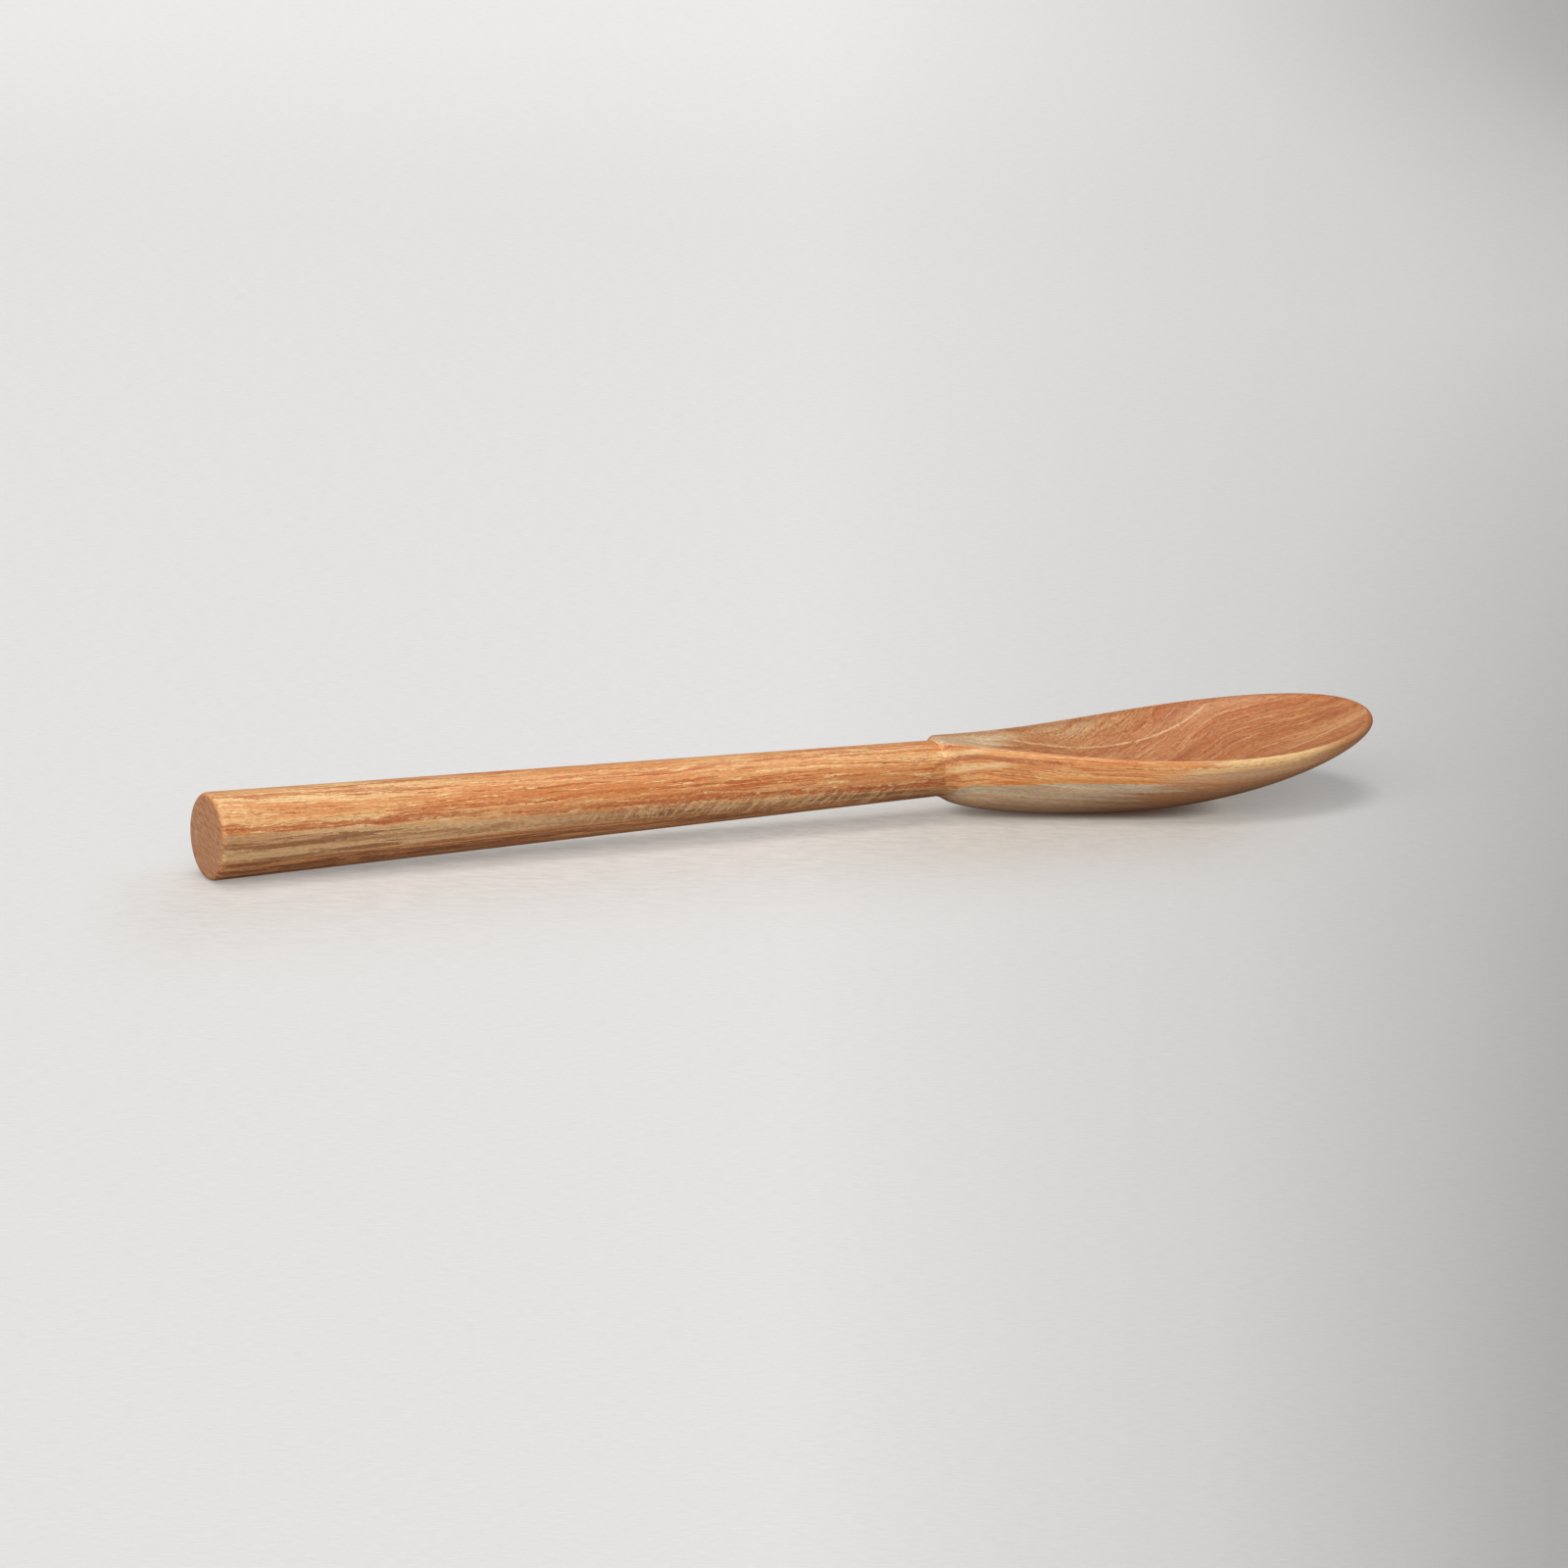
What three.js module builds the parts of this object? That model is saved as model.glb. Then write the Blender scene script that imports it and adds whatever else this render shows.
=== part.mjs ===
import * as THREE from 'three';

// A wooden serving spoon lying on a level surface, in millimetres, +Z up.
// The handle and the bowl lie along X and the bowl's tip points to +X.
// The origin is on the surface, halfway along the spoon.

// Handle: a turned round taper, thickest at its free end
const handleLength = 185;
const handleEndDiameter = 20.4;
const handleNeckDiameter = 13.3;
const handleEndEdge = 0.8;
const handleNeckEdge = 0.35;
const neckAxisHeight = 11.6;

// Glued joint: the bowl's round tenon in the handle's drilled socket
const tenonDiameter = 7;
const tenonLength = 22;
const tenonChamfer = 0.8;
const glueGap = 0.3;
const socketSpareDepth = 1;
const socketMouthChamfer = 0.4;
const drillPointAngle = 118;

// Bowl seen from above: it flares from the shoulder to its widest place, then rounds off to the tip
const flareLength = 76.5;
const tipLength = 38.2;
const bowlWidth = 60;
const flareAtShoulder = 0.21;
const tipRoundness = 2.05;

// Shoulder: the bowl's end swells out of the neck's round, a little proud of it, and is flat on top
const shoulderStep = 0.5;
const shoulderEase = 1.9;
const deckWidth = 7.6;

// Bowl seen from the side: the rim sags between the shoulder and the tip
const rimLowAt = 59;
const rimLowHeight = 14.6;
const rimSlopeAtShoulder = -0.12;
const rimSlopeAtTip = 0.16;
const tipHeight = 19.1;
const tipThickness = 3;

// Underside: it drops from the shoulder to a small sanded flat, then rises to the tip
const restAt = 39;
const restSanding = 0.2;
const keelSlopeAtShoulder = -0.34;
const keelSlopeAtTip = 0.33;
const noseLength = 6;

// Lip: rounded over on both sides of its crest
const lipOuterRound = 1.3;
const lipInnerRound = 0.9;
const lipInnerDrop = 0.35;

// Hollow: its depth is measured down from the rim's crest
const mouthAt = 2.4;
const mouthSlope = 0.1;
const hollowDepth = 9;
const hollowDeepAt = 55;
const hollowSlopeAtTip = -0.3;
const hollowFullness = 0.8;

// Outer cross sections: 2 is round, more is squarer; round at the shoulder, squarer along the bowl,
// and softer again near the tip
const outerSquareness = 3.6;
const tipSquareness = 1.85;
const roundFadeLength = 10;
const tipSofteningPower = 3;

// Facets
const handleSides = 64;
const edgeSteps = 4;
const hullSteps = 12;
const outerRoundSteps = 6;
const innerRoundSteps = 3;
const hollowSteps = 11;
const shoulderSteps = 4;
const flareStations = 20;
const tipStations = 15;
const stationCrowding = 1.6;
const samePlace = 1e-4;

const quarterTurn = Math.PI / 2;
const endRadius = handleEndDiameter / 2;
const neckRadius = handleNeckDiameter / 2;
const tenonRadius = tenonDiameter / 2;
const shoulderRadius = neckRadius + shoulderStep;
const bowlLength = flareLength + tipLength;

// The handle tilts so that its end edge and the bowl both touch the surface
const edgeAlong = glueGap + handleLength - handleEndEdge;
const edgeOut = endRadius - handleEndEdge;
const edgeDrop = neckAxisHeight - handleEndEdge;
const tilt = Math.asin(edgeDrop / Math.hypot(edgeAlong, edgeOut)) - Math.atan2(edgeOut, edgeAlong);
const handleReach = edgeAlong * Math.cos(tilt) + edgeOut * Math.sin(tilt) + handleEndEdge;
const shoulderX = (handleReach - bowlLength) / 2;

const handleWood = new THREE.MeshStandardMaterial({ color: 0xcd8c55, roughness: 0.5, metalness: 0 });
const bowlWood = new THREE.MeshStandardMaterial({ color: 0xc98450, roughness: 0.5, metalness: 0 });

function steps(count) {
  return Array.from({ length: count + 1 }, (_, index) => index / count);
}

// A smooth curve between two places, each with its value and slope
function curveBetween(start, end) {
  const run = end.at - start.at;
  return (at) => {
    const t = (at - start.at) / run;
    const share = t * t * (3 - 2 * t);
    const startSwing = run * start.slope * t * (1 - t) ** 2;
    const endSwing = run * end.slope * t * t * (1 - t);
    return start.value * (1 - share) + end.value * share + startSwing - endSwing;
  };
}

function joinedCurve(places) {
  const parts = places.slice(1).map((end, index) => curveBetween(places[index], end));
  return (at) => {
    const index = places.slice(1, -1).filter((place) => at > place.at).length;
    return parts[index](at);
  };
}

// Quarter round between two profile points, bulging away from the given centre
function quarterRound(centreX, centreY, radius, startAngle) {
  return steps(edgeSteps).map((t) => {
    const angle = startAngle + t * quarterTurn;
    return new THREE.Vector2(centreX + radius * Math.cos(angle), centreY + radius * Math.sin(angle));
  });
}

// The handle's half section, with its length along Y and its neck face at 0
function handleProfile() {
  const socketRadius = tenonRadius + glueGap;
  const socketDepth = tenonLength + socketSpareDepth;
  const drillPoint = socketRadius / Math.tan(THREE.MathUtils.degToRad(drillPointAngle / 2));
  return [
    new THREE.Vector2(0, -handleLength),
    ...quarterRound(endRadius - handleEndEdge, handleEndEdge - handleLength, handleEndEdge, -quarterTurn),
    ...quarterRound(neckRadius - handleNeckEdge, -handleNeckEdge, handleNeckEdge, 0),
    new THREE.Vector2(socketRadius + socketMouthChamfer, 0),
    new THREE.Vector2(socketRadius, -socketMouthChamfer),
    new THREE.Vector2(socketRadius, -socketDepth),
    new THREE.Vector2(0, -socketDepth - drillPoint),
  ];
}

function makeHandle() {
  const handle = new THREE.Mesh(new THREE.LatheGeometry(handleProfile(), handleSides), handleWood);
  handle.name = 'handle';
  handle.rotation.z = -quarterTurn;
  handle.position.x = -glueGap;
  return handle;
}

// Heights of the rim's crest and the keel, and the hollow's depth, along the bowl
const rimCrest = joinedCurve([
  { at: 0, value: neckAxisHeight + shoulderRadius, slope: rimSlopeAtShoulder },
  { at: rimLowAt, value: rimLowHeight, slope: 0 },
  { at: bowlLength, value: tipHeight, slope: rimSlopeAtTip },
]);
const keelLine = joinedCurve([
  { at: 0, value: neckAxisHeight - shoulderRadius, slope: keelSlopeAtShoulder },
  { at: restAt, value: -restSanding, slope: 0 },
  { at: bowlLength, value: tipHeight - tipThickness, slope: keelSlopeAtTip },
]);
const hollowLine = joinedCurve([
  { at: mouthAt, value: 0, slope: mouthSlope },
  { at: hollowDeepAt, value: hollowDepth, slope: 0 },
  { at: bowlLength - lipOuterRound - lipInnerRound, value: lipInnerDrop, slope: hollowSlopeAtTip },
]);
const flareLine = curveBetween(
  { at: 0, value: shoulderRadius, slope: flareAtShoulder },
  { at: flareLength, value: bowlWidth / 2, slope: 0 },
);

// One quarter of a squared ellipse: t runs from its side, at 0, to its top or bottom, at 1
function squaredQuarter(t, squareness) {
  const power = 2 / squareness;
  const side = t < 1 ? Math.cos(t * quarterTurn) ** power : 0;
  return { side, drop: Math.sin(t * quarterTurn) ** power };
}

// A station is a place along the bowl's outline from above, with the direction square to the outline
function flareStation(at) {
  return { at, halfWidth: flareLine(at), normalX: 0, normalY: 1 };
}

function tipStation(t) {
  const { side, drop } = squaredQuarter(t, tipRoundness);
  const across = side ** (tipRoundness - 1) / (bowlWidth / 2);
  const along = drop ** (tipRoundness - 1) / tipLength;
  const size = Math.hypot(across, along);
  return {
    at: flareLength + tipLength * drop,
    halfWidth: bowlWidth / 2 * side,
    normalX: along / size,
    normalY: across / size,
  };
}

function bowlStations() {
  const flare = steps(flareStations).map((t) => {
    return flareStation(mouthAt + (flareLength - mouthAt) * t ** stationCrowding);
  });
  const tip = steps(tipStations).slice(1).map(tipStation);
  return [...flare, ...tip];
}

// Half of the bowl's section at a station, from the keel round the lip to the hollow's middle
function halfSection({ at, halfWidth, normalX, normalY }) {
  const fade = Math.exp(-at / roundFadeLength);
  const outerRound = lipOuterRound + (shoulderRadius - deckWidth / 2 - lipOuterRound) * fade;
  const roundHeight = lipOuterRound + (shoulderRadius - lipOuterRound) * fade;
  const softening = (outerSquareness - tipSquareness) * (at / bowlLength) ** tipSofteningPower;
  const squareness = outerSquareness - (outerSquareness - 2) * fade - softening;

  const crest = rimCrest(at);
  const sideHeight = crest - roundHeight;
  const noseShare = THREE.MathUtils.clamp((at - bowlLength + noseLength) / noseLength, 0, 1);
  const hullDepth = (sideHeight - keelLine(at)) * Math.sqrt(1 - noseShare ** 2);
  const hull = steps(hullSteps).reverse().map((t) => {
    const { side, drop } = squaredQuarter(t, squareness);
    return new THREE.Vector3(at, halfWidth * side, Math.max(sideHeight - hullDepth * drop, 0));
  });

  const place = (inset, z) => new THREE.Vector3(at - inset * normalX, halfWidth - inset * normalY, z);
  const outer = steps(outerRoundSteps).slice(1).map((t) => {
    const angle = t * quarterTurn;
    return place(outerRound * (1 - Math.cos(angle)), sideHeight + roundHeight * Math.sin(angle));
  });
  const edge = place(outerRound + lipInnerRound, crest);
  const depth = hollowLine(Math.max(edge.x, mouthAt));
  const innerDrop = Math.min(lipInnerDrop, depth / 2);
  const inner = steps(innerRoundSteps).slice(1).map((t) => {
    return place(outerRound + lipInnerRound * t, crest - innerDrop * t * t);
  });
  const hollow = steps(hollowSteps).slice(1).map((t) => {
    const drop = Math.sin(t * quarterTurn) ** (2 * hollowFullness);
    const across = t < 1 ? edge.y * Math.cos(t * quarterTurn) : 0;
    return new THREE.Vector3(edge.x, across, crest - innerDrop - (depth - innerDrop) * drop);
  });
  return [...hull, ...outer, ...inner, ...hollow];
}

// The shoulder's outline drawn in towards the neck's round, from the neck at t = 0 to the full section at 1
function shoulderRing(t) {
  const rise = 1 - (1 - t) ** 2;
  return halfSection(flareStation(shoulderEase)).map(({ y, z }) => {
    const up = z - neckAxisHeight;
    const share = rise + (1 - rise) * neckRadius / Math.hypot(y, up);
    return new THREE.Vector3(shoulderEase * t, y * share, neckAxisHeight + up * share);
  });
}

// A round ring of the tenon, square to the handle's axis, with its points in line with the shoulder's
function tenonRing(along, radius) {
  return halfSection(flareStation(shoulderEase)).map(({ y, z }) => {
    const angle = Math.atan2(z - neckAxisHeight, y);
    const up = radius * Math.sin(angle);
    return new THREE.Vector3(
      along * Math.cos(tilt) - up * Math.sin(tilt),
      radius * Math.max(Math.cos(angle), 0),
      neckAxisHeight + along * Math.sin(tilt) + up * Math.cos(tilt),
    );
  });
}

function tenonAndShoulder() {
  return [
    tenonRing(-tenonLength, 0),
    tenonRing(-tenonLength, tenonRadius - tenonChamfer),
    tenonRing(tenonChamfer - tenonLength, tenonRadius),
    tenonRing(0, tenonRadius),
    tenonRing(0, neckRadius),
    ...steps(shoulderSteps).slice(1).map(shoulderRing),
  ];
}

// Both sides of a half section, as one loop round the bowl
function fullLoop(half) {
  const mirrored = half.slice(1, -1).reverse().map((point) => new THREE.Vector3(point.x, -point.y, point.z));
  return [...half, ...mirrored];
}

// Skin over a row of loops: corners in the same place become one, and faces with no area are left out
function loftGeometry(loops) {
  const positions = [];
  const known = new Map();
  const indexOf = (point) => {
    const key = point.toArray().map((value) => Math.round(value / samePlace)).join();
    if (!known.has(key)) {
      known.set(key, known.size);
      positions.push(...point);
    }
    return known.get(key);
  };
  const rows = loops.map((loop) => loop.map(indexOf));
  const faces = [];
  const addFace = (a, b, c) => {
    if (a !== b && b !== c && c !== a) {
      faces.push(a, b, c);
    }
  };
  rows.slice(1).forEach((row, index) => {
    const last = rows[index];
    row.forEach((corner, side) => {
      const next = (side + 1) % row.length;
      addFace(last[side], row[next], corner);
      addFace(last[side], last[next], row[next]);
    });
  });
  const geometry = new THREE.BufferGeometry();
  geometry.setAttribute('position', new THREE.Float32BufferAttribute(positions, 3));
  geometry.setIndex(faces);
  geometry.computeVertexNormals();
  return geometry;
}

function makeBowl() {
  const loops = [...tenonAndShoulder(), ...bowlStations().map(halfSection)].map(fullLoop);
  const bowl = new THREE.Mesh(loftGeometry(loops), bowlWood);
  bowl.name = 'bowl';
  return bowl;
}

const spoon = new THREE.Group();

const handlePlace = new THREE.Group();
handlePlace.position.set(shoulderX, 0, neckAxisHeight);
handlePlace.rotation.y = -tilt;
handlePlace.add(makeHandle());
spoon.add(handlePlace);

const bowlPlace = new THREE.Group();
bowlPlace.position.x = shoulderX;
bowlPlace.add(makeBowl());
spoon.add(bowlPlace);

export default spoon;
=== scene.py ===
from math import asin, atan2, cos, dist, exp, hypot, pi, radians, sin, sqrt

import bmesh
import bpy
from mathutils import Matrix, Vector


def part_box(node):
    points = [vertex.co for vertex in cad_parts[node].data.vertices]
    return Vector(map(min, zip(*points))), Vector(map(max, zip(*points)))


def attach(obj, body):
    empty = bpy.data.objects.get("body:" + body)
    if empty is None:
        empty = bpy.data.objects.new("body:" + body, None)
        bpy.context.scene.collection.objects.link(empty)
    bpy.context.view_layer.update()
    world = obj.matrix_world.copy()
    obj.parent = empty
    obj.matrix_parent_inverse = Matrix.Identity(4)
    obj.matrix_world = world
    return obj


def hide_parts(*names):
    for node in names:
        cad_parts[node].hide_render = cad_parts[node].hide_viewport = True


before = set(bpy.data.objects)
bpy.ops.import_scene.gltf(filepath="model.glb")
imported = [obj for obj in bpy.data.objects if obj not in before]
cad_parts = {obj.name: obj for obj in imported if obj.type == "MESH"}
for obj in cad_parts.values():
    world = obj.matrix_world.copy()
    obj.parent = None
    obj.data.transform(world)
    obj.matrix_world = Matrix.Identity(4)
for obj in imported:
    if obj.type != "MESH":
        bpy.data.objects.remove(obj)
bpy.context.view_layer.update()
print("frame loaded:", ", ".join(sorted(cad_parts)))

# The spoon is modelled in millimetres and scaled to metres when each piece is finished
mm = 0.001


# Camera: a long lens, a little above the table and to the left of the bowl
camera = {
    "place": (-1099.21, -2222.2, 599.81),
    "yaw": 26.25,
    "pitch": 13.37,
    "roll": 1.59,
    "lens": 250,
    "sensorWidth": 36,
    "clipEnd": 50,  # metres
}


def makeCamera():
    bpy.ops.object.camera_add(location=[value * mm for value in camera["place"]])
    eye = bpy.context.object
    eye.name = "photoCamera"
    turn = Matrix.Rotation(radians(-camera["yaw"]), 3, "Z")
    nod = Matrix.Rotation(radians(90 - camera["pitch"]), 3, "X")
    lean = Matrix.Rotation(radians(camera["roll"]), 3, "Z")
    eye.rotation_euler = (turn @ nod @ lean).to_euler()
    eye.data.lens = camera["lens"]
    eye.data.sensor_width = camera["sensorWidth"]
    eye.data.clip_end = camera["clipEnd"]
    bpy.context.scene.camera = eye


makeCamera()
print("camera set")


# Shader maths: a wire holds a socket, and sums on wires add Math nodes
class Wire:
    def __init__(self, socket):
        self.socket = socket

    def node(self, kind, settings=None, values=None, output=0):
        tree = self.socket.id_data
        made = tree.nodes.new(kind)
        for name, value in (settings or {}).items():
            if name == "stops":
                fillRamp(made.color_ramp, value)
            else:
                setattr(made, name, value)
        for name, value in (values or {}).items():
            if isinstance(value, Wire):
                tree.links.new(value.socket, made.inputs[name])
            else:
                made.inputs[name].default_value = value
        return Wire(made.outputs[output])

    def math(self, operation, *values):
        return self.node("ShaderNodeMath", {"operation": operation}, dict(enumerate(values)))

    def __add__(self, other):
        return self.math("ADD", self, other)

    def __radd__(self, other):
        return self.math("ADD", other, self)

    def __sub__(self, other):
        return self.math("SUBTRACT", self, other)

    def __rsub__(self, other):
        return self.math("SUBTRACT", other, self)

    def __mul__(self, other):
        return self.math("MULTIPLY", self, other)

    def __rmul__(self, other):
        return self.math("MULTIPLY", other, self)

    def __abs__(self):
        return self.math("ABSOLUTE", self)

    def above(self, low, high):
        # 0 below low, 1 above high, smooth between
        return self.node("ShaderNodeMapRange", {"interpolation_type": "SMOOTHSTEP"}, {
            "Value": self, "From Min": low, "From Max": high,
        })

    def below(self, low, high):
        return 1 - self.above(low, high)

    def ramp(self, stops):
        return self.node("ShaderNodeValToRGB", {"stops": stops}, {0: self})


def fillRamp(ramp, stops):
    ramp.elements.remove(ramp.elements[1])
    for index, (place, colour) in enumerate(stops):
        spot = ramp.elements[0] if index == 0 else ramp.elements.new(place)
        spot.position = place
        spot.color = colour


def shade(red, green, blue):
    # a colour as seen on screen, 0 to 255, made ready for a shader
    def linear(value):
        value /= 255
        return value / 12.92 if value <= 0.04045 else ((value + 0.055) / 1.055) ** 2.4
    return linear(red), linear(green), linear(blue), 1


def grey(level):
    return shade(level, level, level)


def blend(amount, first, second, mode="MIX"):
    wire = next(value for value in (amount, first, second) if isinstance(value, Wire))
    return wire.node("ShaderNodeMix", {"data_type": "RGBA", "blend_type": mode}, {
        0: amount, 6: first, 7: second,
    }, 2)


def scaled(point, x, y, z):
    return point.node("ShaderNodeMapping", None, {"Vector": point, "Scale": (x, y, z)})


def joined(x, y, z):
    return x.node("ShaderNodeCombineXYZ", None, {0: x, 1: y, 2: z})


def parts(point):
    split = point.node("ShaderNodeSeparateXYZ", None, {0: point}).socket.node
    return [Wire(socket) for socket in split.outputs]


def noise(point, detail=3, roughness=0.5):
    return point.node("ShaderNodeTexNoise", None, {
        "Vector": point, "Scale": 1, "Detail": detail, "Roughness": roughness,
    })


dullGloss = 0.3  # less than the usual 0.5, for wood and floor


def newMaterial(name):
    material = bpy.data.materials.new(name)
    material.use_nodes = True
    surface = material.node_tree.nodes["Principled BSDF"]
    surface.inputs["Specular IOR Level"].default_value = dullGloss
    return material, surface, Wire(surface.outputs["BSDF"])


def objectPoint(shader):
    # Object coordinates in millimetres
    place = shader.node("ShaderNodeTexCoord", output="Object")
    return scaled(place, 1 / mm, 1 / mm, 1 / mm)


def plug(surface, name, wire):
    surface.id_data.links.new(wire.socket, surface.inputs[name])


# Wood tones, as they look in plain light
tones = {
    "umber": shade(118, 84, 62),
    "brown": shade(160, 102, 62),
    "deepRed": shade(182, 90, 44),
    "red": shade(202, 110, 58),
    "orange": shade(217, 138, 80),
    "honey": shade(231, 167, 108),
    "straw": shade(246, 208, 148),
    "amber": shade(212, 126, 44),
    "clayDark": shade(173, 100, 57),
    "clay": shade(193, 127, 79),
    "clayPale": shade(210, 154, 104),
    "tan": shade(206, 148, 96),
    "beige": shade(222, 188, 144),
    "bark": shade(150, 98, 62),
}


# Patterns in the wood: scale along and across the grain, per millimetre, then detail and roughness
grainPatterns = {
    "broad": (0.012, 0.2, 3, 0.5),
    "streak": (0.016, 0.65, 4, 0.55),
    "line": (0.028, 1.6, 3, 0.6),
    "fleck": (0.09, 2.2, 2, 0.5),
    "fibre": (0.7, 4.5, 3, 0.65),
}
tearPattern = (0.5, 1.8, 4, 0.7)
bendPattern = (0.022, 0.06, 2, 0.5)
frayPattern = (0.12, 0.9, 4, 0.65)
wanderPattern = (0.012, 0, 3, 0.6)
gapPattern = (0.05, 0.4, 3, 0.5)
strokePattern = (0.95, 0.25, 3, 0.65)

# how strong a pattern has to be before its marks show, and before they show fully
markLevels = {
    "streak": (0.54, 0.575),
    "line": (0.56, 0.595),
    "fleck": (0.6, 0.64),
    "sapLine": (0.53, 0.57),
}

finishLook = {
    "fibreLevels": (0.34, 0.58),
    "roughnessSwing": 0.2,
    "reliefHeight": 0.0004,
}


def alongGrain(point, along, across, detail, roughness):
    return noise(scaled(point, along, across, across), detail, roughness)


def grainOf(point, look):
    # the grain runs along the point's x, and its edges are all a little torn
    x, y, z = parts(point)
    tear = alongGrain(point, *tearPattern) - 0.5
    bend = alongGrain(point, *bendPattern) - 0.5
    shift = tear * look["tear"] + bend * look["bend"]
    place = joined(x, y + shift, z + shift)
    grain = {name: alongGrain(place, *pattern) for name, pattern in grainPatterns.items()}
    return {"tear": tear, "bend": bend, **grain}


def mixedGrain(amount, first, second):
    return {name: first[name] + (second[name] - first[name]) * amount for name in first}


def heartColour(grain, look):
    # warm wood: red streaks and thin lines on orange, with pale flecks
    dark, middle, pale = look["base"]
    base = grain["broad"] * 0.4 + grain["streak"] * 0.3 + grain["line"] * 0.3
    colour = base.ramp([(0.41, dark), (0.5, middle), (0.59, pale)])
    for pattern in ("streak", "line", "fleck"):
        amount = grain[pattern].above(*markLevels[pattern]) * look[pattern + "Share"]
        colour = blend(amount, colour, look[pattern + "Tone"])
    return colour


def sapColour(grain, look):
    # pale wood with a few brown lines
    low, high = look["sapTones"]
    colour = (grain["line"] * 0.6 + grain["broad"] * 0.4).ramp([(0.42, low), (0.56, high)])
    amount = grain["streak"].above(*markLevels["sapLine"]) * look["sapLineShare"]
    return blend(amount, colour, look["sapLineTone"])


def finish(surface, colour, grain, look):
    # fibre shows in colour, gloss and relief
    fibre = grain["fibre"]
    low, high = finishLook["fibreLevels"]
    soft = fibre.ramp([(low, grey(look["fibre"])), (high, grey(255))])
    plug(surface, "Base Color", blend(1, colour, soft, "MULTIPLY"))
    plug(surface, "Roughness", look["roughness"] + finishLook["roughnessSwing"] * (fibre - 0.5))
    height = grain["line"] * 0.5 + fibre * 0.5
    plug(surface, "Normal", height.node("ShaderNodeBump", None, {
        "Strength": look["relief"], "Distance": finishLook["reliefHeight"], "Height": height,
    }))


# Starts, ends and heights in pairs: where a mark begins to change, and where it has changed
handleLook = {
    "roughness": 0.46,
    "relief": 0.28,
    "fibre": 216,
    "tear": 0.9,
    "bend": 4,
    "base": (tones["orange"], tones["honey"], tones["straw"]),
    "streakShare": 0.8,
    "streakTone": tones["red"],
    "lineShare": 0.8,
    "lineTone": tones["deepRed"],
    # the straw flecks are pale wood, partly painted specular glints
    "fleckShare": 0.85,
    "fleckTone": tones["straw"],
    "sapTones": (shade(194, 142, 96), shade(220, 178, 128)),
    "sapLineShare": 0.8,
    "sapLineTone": tones["bark"],
    "sapTop": 9.1,  # height of the sapwood's upper edge at x = 0
    "sapFall": 0.0236,
    "sapDepth": 2.4,
    "sapNarrowing": 0.018,
    "browner": (-80, -30),  # the sapwood turns browner between these, towards the neck
    "midLineDrop": 2.4,  # a broken brown line runs this far below the upper edge
    "redAbove": 1.3,  # a red streak runs this far above it
    "redReach": (0.24, 0.8),  # it is fully red within the first distance, and gone beyond the second
    "lowTones": (tones["tan"], shade(178, 112, 68)),
    "lowStreakTone": shade(132, 78, 46),
    "strokesStart": (-75, -45),
    "strokesEnd": (20, 34),
    "strokeDrop": 0.8,
    "strokeLean": 0.8,
    "strokeTones": (shade(230, 194, 142), tones["brown"]),
}


def handleColour(point):
    look = handleLook
    x, y, z = parts(point)
    grain = grainOf(point, look)
    tear = grain["tear"]
    colour = heartColour(grain, look)

    # the long red streak above the sapwood
    edge = z + x * look["sapFall"] - look["sapTop"] + tear * 1.2
    wander = alongGrain(point, *wanderPattern) - 0.5
    red = abs(edge - look["redAbove"] - wander * 4 + tear * 2.2).below(*look["redReach"])
    gaps = alongGrain(point, *gapPattern).above(0.3, 0.5)
    colour = blend(red * gaps * 0.75, colour, tones["deepRed"])

    # the sapwood, with a broken brown line
    sap = sapColour(grain, look)
    midLine = abs(edge + look["midLineDrop"] - wander * 3 + tear * 2).below(0.3, 1)
    sap = blend(midLine * grain["fleck"].above(0.4, 0.5) * 0.5, sap, tones["bark"])
    sap = blend(x.above(*look["browner"]) * 0.3, sap, tones["brown"])

    # below that, brown heartwood again, its darker tone partly a painted shade on the underside
    depth = look["sapDepth"] - x * look["sapNarrowing"]
    lowEdge = edge + depth + (grain["broad"] + grain["streak"] - 1) * 8
    low = blend(grain["line"].above(0.46, 0.54), *look["lowTones"])
    low = blend(grain["streak"].above(0.5, 0.54) * 0.8, low, look["lowStreakTone"])
    low = blend(grain["fleck"].above(0.58, 0.62) * 0.6, low, tones["honey"])
    below = blend(lowEdge.above(-0.3, 0.3), low, sap)
    colour = blend(edge.below(-0.1, 0.1), colour, below)

    # short slanting strokes near the sapwood, towards the neck
    slant = joined(x - z * look["strokeLean"] + tear * 3 + grain["bend"] * 8, y, z)
    strokes = alongGrain(slant, *strokePattern)
    where = x.above(*look["strokesStart"]) * x.below(*look["strokesEnd"])
    where = where * abs(edge + look["strokeDrop"]).below(1, 3) * grain["broad"].above(0.3, 0.48)
    pale, dark = look["strokeTones"]
    colour = blend(strokes.above(0.52, 0.56) * where * 0.55, colour, pale)
    colour = blend(strokes.below(0.42, 0.46) * where * 0.5, colour, dark)
    return colour, grain


# Where the handle's wood meets the bowl's, the border runs raggedly to both sides of the joint
neckLook = {
    "border": 31.5,
    "ragged": 22,
    "lowHeights": (9, 14),  # below these the border lies nearer the bowl
    "lowShift": 5,
    "topHeights": (16.2, 17),  # orange wood above these
    "topEnd": (42, 50),
    "tongues": [
        # where each pale tongue starts and ends, its height at the start, its rise and half its width
        {"start": 29, "end": 48, "height": 15.4, "rise": 0.105, "half": 0.65},
        {"start": 35, "end": 53, "height": 12.2, "rise": 0.12, "half": 0.85},
    ],
    "tongueTone": shade(246, 204, 148),
    # the dark streak rises from its start to its bend, and then falls
    "dark": {"start": 33, "height": 13.9, "rise": 0.165, "bend": 43.5, "fall": 0.095, "end": (50, 64)},
    "darkTone": shade(190, 110, 68),
}


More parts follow.
